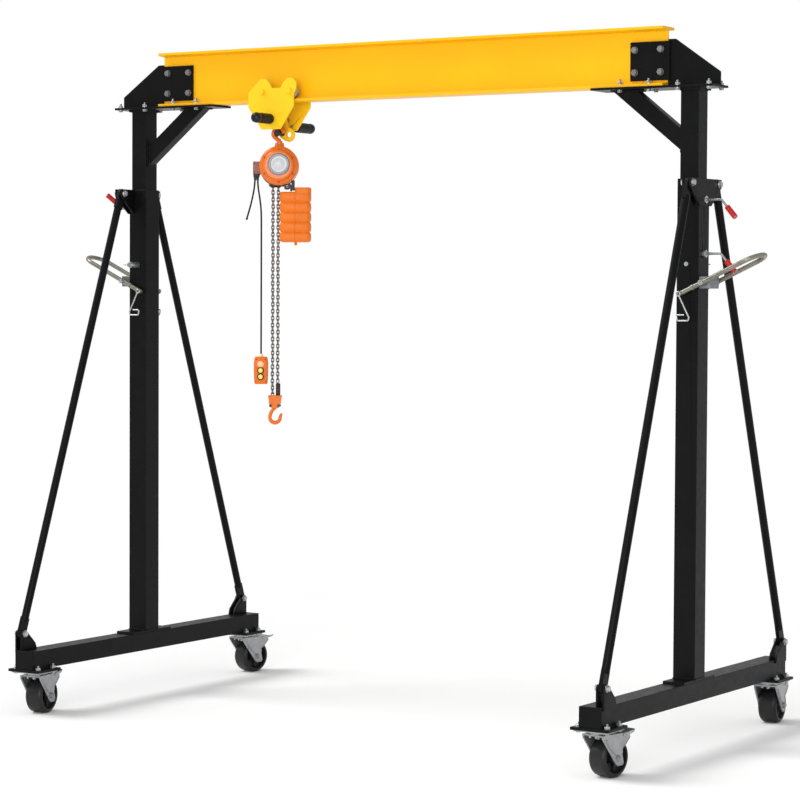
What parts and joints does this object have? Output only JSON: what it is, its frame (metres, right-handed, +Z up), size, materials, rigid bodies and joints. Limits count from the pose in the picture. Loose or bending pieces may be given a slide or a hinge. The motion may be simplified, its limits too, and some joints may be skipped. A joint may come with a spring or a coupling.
{
  "type": "mobile gantry crane",
  "caption": "Height-adjustable mobile gantry crane: I-beam on two braced telescopic legs with braked casters, push trolley and electric chain hoist with pendant.",
  "frame": {"origin": "on the floor under the middle of the beam, midway between the legs and between the front and rear casters", "axes": "+X along the beam towards the right leg, +Y along the base beams towards the rear, away from the hoist's dial side, +Z up"},
  "size_m": [3.5392, 1.8707, 3.03],
  "materials": {
    "frame_paint": "satin",
    "beam_paint": "satin",
    "trolley_paint": "satin",
    "hoist_enamel": "gloss",
    "dial_trim": "satin",
    "terminal_plastic": "matte",
    "container_plastic": "satin",
    "pendant_plastic": "satin",
    "grip_black": "satin",
    "cable_rubber": "matte",
    "wheel_rubber": "matte",
    "caster_zinc": "bright zinc plate",
    "pedal_zinc": "bright zinc plate",
    "bright_zinc": "bright zinc plate",
    "block_zinc": "dull zinc plate",
    "clamp_steel": "bright steel with a red plastic grip",
    "yellow_zinc": "yellow zinc plate",
    "roller_steel": "turned",
    "chain_steel": "case-hardened, oiled",
    "hook_paint": "gloss over a forging"
  },
  "bodies": {
    "lower_frame": {"base_beams": "frame_paint", "foot_plates": "frame_paint", "left_post": "frame_paint", "right_post": "frame_paint", "end_caps": "frame_paint", "braces": "frame_paint", "brace_lugs": "frame_paint", "brace_bolts": "bright_zinc", "caster_mounts": "frame_paint", "caster_tops": "caster_zinc", "clamp_nuts": "bright_zinc", "jack_blocks": "block_zinc", "jack_bolts": "bright_zinc"},
    "upper_frame": {"beam": "beam_paint", "left_mast": "frame_paint", "right_mast": "frame_paint", "head_brackets": "frame_paint", "knee_braces": "frame_paint", "gussets": "frame_paint", "beam_covers": "frame_paint"},
    "trolley": {"trolley_side_plates": "trolley_paint", "trolley_rollers": "roller_steel", "trolley_spindle": "bright_zinc", "trolley_grips": "grip_black", "trolley_hangers": "trolley_paint", "suspension_pin": "bright_zinc"},
    "hoist_hook": {"hoist_hook": "hoist_enamel"},
    "hoist": {"hoist_housing": "hoist_enamel", "hoist_dial": "dial_trim", "terminal_box": "terminal_plastic", "chain_container": "container_plastic", "load_chain": "chain_steel", "hook_block": "hook_paint", "pendant": "pendant_plastic", "pendant_cable": "cable_rubber", "power_lead": "cable_rubber"},
    "load_hook": {"load_hook": "hook_paint"},
    "left_lock_pin": {"left_lock_pin": "bright_zinc"},
    "right_lock_pin": {"right_lock_pin": "bright_zinc"},
    "left_jack_lever": {"left_jack_lever": "yellow_zinc"},
    "right_jack_lever": {"right_jack_lever": "yellow_zinc"},
    "left_lift_link": {"left_lift_link": "bright_zinc"},
    "right_lift_link": {"right_lift_link": "bright_zinc"},
    "left_clamp_screw": {"left_clamp_screw": "clamp_steel"},
    "right_clamp_screw": {"right_clamp_screw": "clamp_steel"},
    "right_lower_clamp_screw": {"right_lower_clamp_screw": "clamp_steel"},
    "caster_fork_front_left": {"caster_fork_front_left": "caster_zinc"},
    "caster_wheel_front_left": {"caster_wheel_front_left": "wheel_rubber"},
    "caster_brake_front_left": {"caster_brake_front_left": "pedal_zinc"},
    "caster_fork_front_right": {"caster_fork_front_right": "caster_zinc"},
    "caster_wheel_front_right": {"caster_wheel_front_right": "wheel_rubber"},
    "caster_brake_front_right": {"caster_brake_front_right": "pedal_zinc"},
    "caster_fork_rear_left": {"caster_fork_rear_left": "caster_zinc"},
    "caster_wheel_rear_left": {"caster_wheel_rear_left": "wheel_rubber"},
    "caster_brake_rear_left": {"caster_brake_rear_left": "pedal_zinc"},
    "caster_fork_rear_right": {"caster_fork_rear_right": "caster_zinc"},
    "caster_wheel_rear_right": {"caster_wheel_rear_right": "wheel_rubber"},
    "caster_brake_rear_right": {"caster_brake_rear_right": "pedal_zinc"}
  },
  "joints": [
    {"name": "lift", "type": "slide", "parent": "lower_frame", "child": "upper_frame", "axis": [0, 0, 1], "range_m": [0, 0.9]},
    {"name": "left_lock_pin_pull", "type": "slide", "parent": "lower_frame", "child": "left_lock_pin", "axis": [0, -1, 0], "range_m": [0, 0.108]},
    {"name": "left_jack_rock", "type": "hinge", "parent": "lower_frame", "child": "left_jack_lever", "pos_m": [-1.514, 0, 1.961], "axis": [0, -1, 0], "range_deg": [0, 45]},
    {"name": "left_lift_link_swing", "type": "hinge", "parent": "left_jack_lever", "child": "left_lift_link", "pos_m": [-1.4134, 0, 1.91409], "axis": [0, -1, 0], "range_deg": [-45, 0]},
    {"name": "right_lock_pin_pull", "type": "slide", "parent": "lower_frame", "child": "right_lock_pin", "axis": [0, 1, 0], "range_m": [0, 0.108]},
    {"name": "right_jack_rock", "type": "hinge", "parent": "lower_frame", "child": "right_jack_lever", "pos_m": [1.514, 0, 1.961], "axis": [0, 1, 0], "range_deg": [0, 45]},
    {"name": "right_lift_link_swing", "type": "hinge", "parent": "right_jack_lever", "child": "right_lift_link", "pos_m": [1.4134, 0, 1.91409], "axis": [0, 1, 0], "range_deg": [-45, 0]},
    {"name": "left_clamp_screw_turn", "type": "hinge", "parent": "lower_frame", "child": "left_clamp_screw", "pos_m": [-1.489, 0, 2.306], "axis": [-1, 0, 0], "continuous": true},
    {"name": "right_clamp_screw_turn", "type": "hinge", "parent": "lower_frame", "child": "right_clamp_screw", "pos_m": [1.489, 0, 2.306], "axis": [1, 0, 0], "continuous": true},
    {"name": "right_lower_clamp_screw_turn", "type": "hinge", "parent": "lower_frame", "child": "right_lower_clamp_screw", "pos_m": [1.489, 0, 2.081], "axis": [1, 0, 0], "continuous": true},
    {"name": "trolley_travel", "type": "slide", "parent": "upper_frame", "child": "trolley", "axis": [1, 0, 0], "range_m": [-0.195, 1.485]},
    {"name": "hoist_swing", "type": "hinge", "parent": "trolley", "child": "hoist_hook", "pos_m": [-0.66, 0, 2.641], "axis": [0, 1, 0], "range_deg": [-10, 10]},
    {"name": "hoist_swivel", "type": "hinge", "parent": "hoist_hook", "child": "hoist", "pos_m": [-0.66, 0, 2.596], "axis": [0, 0, 1], "continuous": true},
    {"name": "load_hook_swivel", "type": "hinge", "parent": "hoist", "child": "load_hook", "pos_m": [-0.67472, -0.0085, 1.379], "axis": [0, 0, 1], "continuous": true},
    {"name": "front_left_swivel", "type": "hinge", "parent": "lower_frame", "child": "caster_fork_front_left", "pos_m": [-1.439, -0.8035, 0.198], "axis": [0, 0, 1], "continuous": true},
    {"name": "front_left_roll", "type": "hinge", "parent": "caster_fork_front_left", "child": "caster_wheel_front_left", "pos_m": [-1.44854, -0.74325, 0.08], "axis": [0.9877, 0.1564, 0], "continuous": true},
    {"name": "front_left_brake_press", "type": "hinge", "parent": "caster_fork_front_left", "child": "caster_brake_front_left", "pos_m": [-1.45402, -0.70868, 0.171], "axis": [-0.9877, -0.1564, 0], "range_deg": [0, 15]},
    {"name": "front_right_swivel", "type": "hinge", "parent": "lower_frame", "child": "caster_fork_front_right", "pos_m": [1.439, -0.8035, 0.198], "axis": [0, 0, 1], "continuous": true},
    {"name": "front_right_roll", "type": "hinge", "parent": "caster_fork_front_right", "child": "caster_wheel_front_right", "pos_m": [1.45168, -0.74383, 0.08], "axis": [0.9781, -0.2079, 0], "continuous": true},
    {"name": "front_right_brake_press", "type": "hinge", "parent": "caster_fork_front_right", "child": "caster_brake_front_right", "pos_m": [1.45896, -0.7096, 0.171], "axis": [-0.9781, 0.2079, 0], "range_deg": [0, 15]},
    {"name": "rear_left_swivel", "type": "hinge", "parent": "lower_frame", "child": "caster_fork_rear_left", "pos_m": [-1.439, 0.8035, 0.198], "axis": [0, 0, 1], "continuous": true},
    {"name": "rear_left_roll", "type": "hinge", "parent": "caster_fork_rear_left", "child": "caster_wheel_rear_left", "pos_m": [-1.42528, 0.86294, 0.08], "axis": [0.9744, -0.225, 0], "continuous": true},
    {"name": "rear_left_brake_press", "type": "hinge", "parent": "caster_fork_rear_left", "child": "caster_brake_rear_left", "pos_m": [-1.41741, 0.89704, 0.171], "axis": [-0.9744, 0.225, 0], "range_deg": [0, 15]},
    {"name": "rear_right_swivel", "type": "hinge", "parent": "lower_frame", "child": "caster_fork_rear_right", "pos_m": [1.439, 0.8035, 0.198], "axis": [0, 0, 1], "continuous": true},
    {"name": "rear_right_roll", "type": "hinge", "parent": "caster_fork_rear_right", "child": "caster_wheel_rear_right", "pos_m": [1.43262, 0.86417, 0.08], "axis": [0.9945, 0.1045, 0], "continuous": true},
    {"name": "rear_right_brake_press", "type": "hinge", "parent": "caster_fork_rear_right", "child": "caster_brake_rear_right", "pos_m": [1.42897, 0.89897, 0.171], "axis": [-0.9945, -0.1045, 0], "range_deg": [0, 15]}
  ],
  "couplings": [
    {"joint": "left_lift_link_swing", "follows": "left_jack_rock", "ratio": -1},
    {"joint": "right_lift_link_swing", "follows": "right_jack_rock", "ratio": -1}
  ]
}
